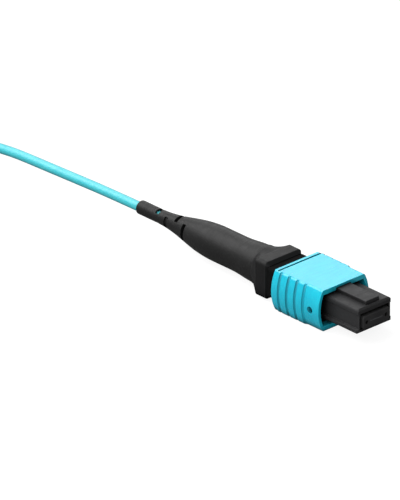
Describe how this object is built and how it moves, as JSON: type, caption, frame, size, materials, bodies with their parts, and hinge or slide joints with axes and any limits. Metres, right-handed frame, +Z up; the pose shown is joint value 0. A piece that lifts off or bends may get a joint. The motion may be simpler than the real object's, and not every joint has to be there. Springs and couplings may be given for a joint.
{
  "type": "mpo fibre connector",
  "caption": "Push-pull multi-fibre ribbon plug with a sliding coupling sleeve, sprung ferrule, flexible strain relief and a pigtail cable in a tied hank.",
  "frame": {"origin": "centre of the plug's bounding box in X and Y, on the surface that the sleeve's flat bottom rests on, cable left out", "axes": "+X along the plug towards the mating face, +Z up towards the key side"},
  "size_m": [0.1574, 0.0172, 0.0116],
  "materials": {
    "sleeve_aqua": "satin moulded aqua plastic",
    "housing_black": "glossy black moulded plastic",
    "ferrule_black": "glass-filled black moulding with a polished face",
    "soft_boot": "soft dark elastomer",
    "keeper_grey": "stiff natural grey moulding",
    "spring_steel": "drawn spring wire",
    "yarn": "yellow strength yarn",
    "crimp_metal": "plain drawn metal with crimp marks",
    "boot_rubber": "matte black rubber",
    "jacket_aqua": "smooth satin aqua jacket",
    "tie_strap": "black woven hook-and-loop strap",
    "fibre_ends": "bare coated fibre ends",
    "coating_blue": "thin coloured coating on glass fibre",
    "coating_orange": "thin coloured coating on glass fibre",
    "coating_green": "thin coloured coating on glass fibre",
    "coating_brown": "thin coloured coating on glass fibre",
    "coating_slate": "thin coloured coating on glass fibre",
    "coating_white": "thin coloured coating on glass fibre",
    "coating_red": "thin coloured coating on glass fibre",
    "coating_black": "thin coloured coating on glass fibre",
    "coating_yellow": "thin coloured coating on glass fibre",
    "coating_violet": "thin coloured coating on glass fibre",
    "coating_rose": "thin coloured coating on glass fibre",
    "coating_aqua": "thin coloured coating on glass fibre"
  },
  "bodies": {
    "plug": {"inner_housing": "housing_black", "spring_push": "housing_black", "aramid_yarn": "yarn", "crimp_ring": "crimp_metal", "boot": "boot_rubber", "main_spring": "spring_steel", "sleeve_spring_left": "spring_steel", "sleeve_spring_right": "spring_steel", "cable": "jacket_aqua", "cable_hank": "jacket_aqua", "hank_tie": "tie_strap", "cable_tail": "jacket_aqua", "cable_end_yarn": "yarn", "cable_end_fibres": "fibre_ends"},
    "sleeve": {"outer_sleeve": "sleeve_aqua"},
    "ferrule": {"mt_ferrule": "ferrule_black", "ferrule_boot": "soft_boot", "pin_keeper": "keeper_grey", "fibre_01": "coating_blue", "fibre_02": "coating_orange", "fibre_03": "coating_green", "fibre_04": "coating_brown", "fibre_05": "coating_slate", "fibre_06": "coating_white", "fibre_07": "coating_red", "fibre_08": "coating_black", "fibre_09": "coating_yellow", "fibre_10": "coating_violet", "fibre_11": "coating_rose", "fibre_12": "coating_aqua"}
  },
  "joints": [
    {"name": "sleeve_slide", "type": "slide", "parent": "plug", "child": "sleeve", "axis": [-1, 0, 0], "range_m": [0, 0.002], "stiffness_N_per_m": 400, "springref_m": -0.001, "deforming": ["sleeve_spring_left", "sleeve_spring_right"]},
    {"name": "ferrule_float", "type": "slide", "parent": "plug", "child": "ferrule", "axis": [-1, 0, 0], "range_m": [0, 0.001], "stiffness_N_per_m": 2000, "springref_m": -0.001, "deforming": ["main_spring", "fibre_01", "fibre_02", "fibre_03", "fibre_04", "fibre_05", "fibre_06", "fibre_07", "fibre_08", "fibre_09", "fibre_10", "fibre_11", "fibre_12"]}
  ]
}
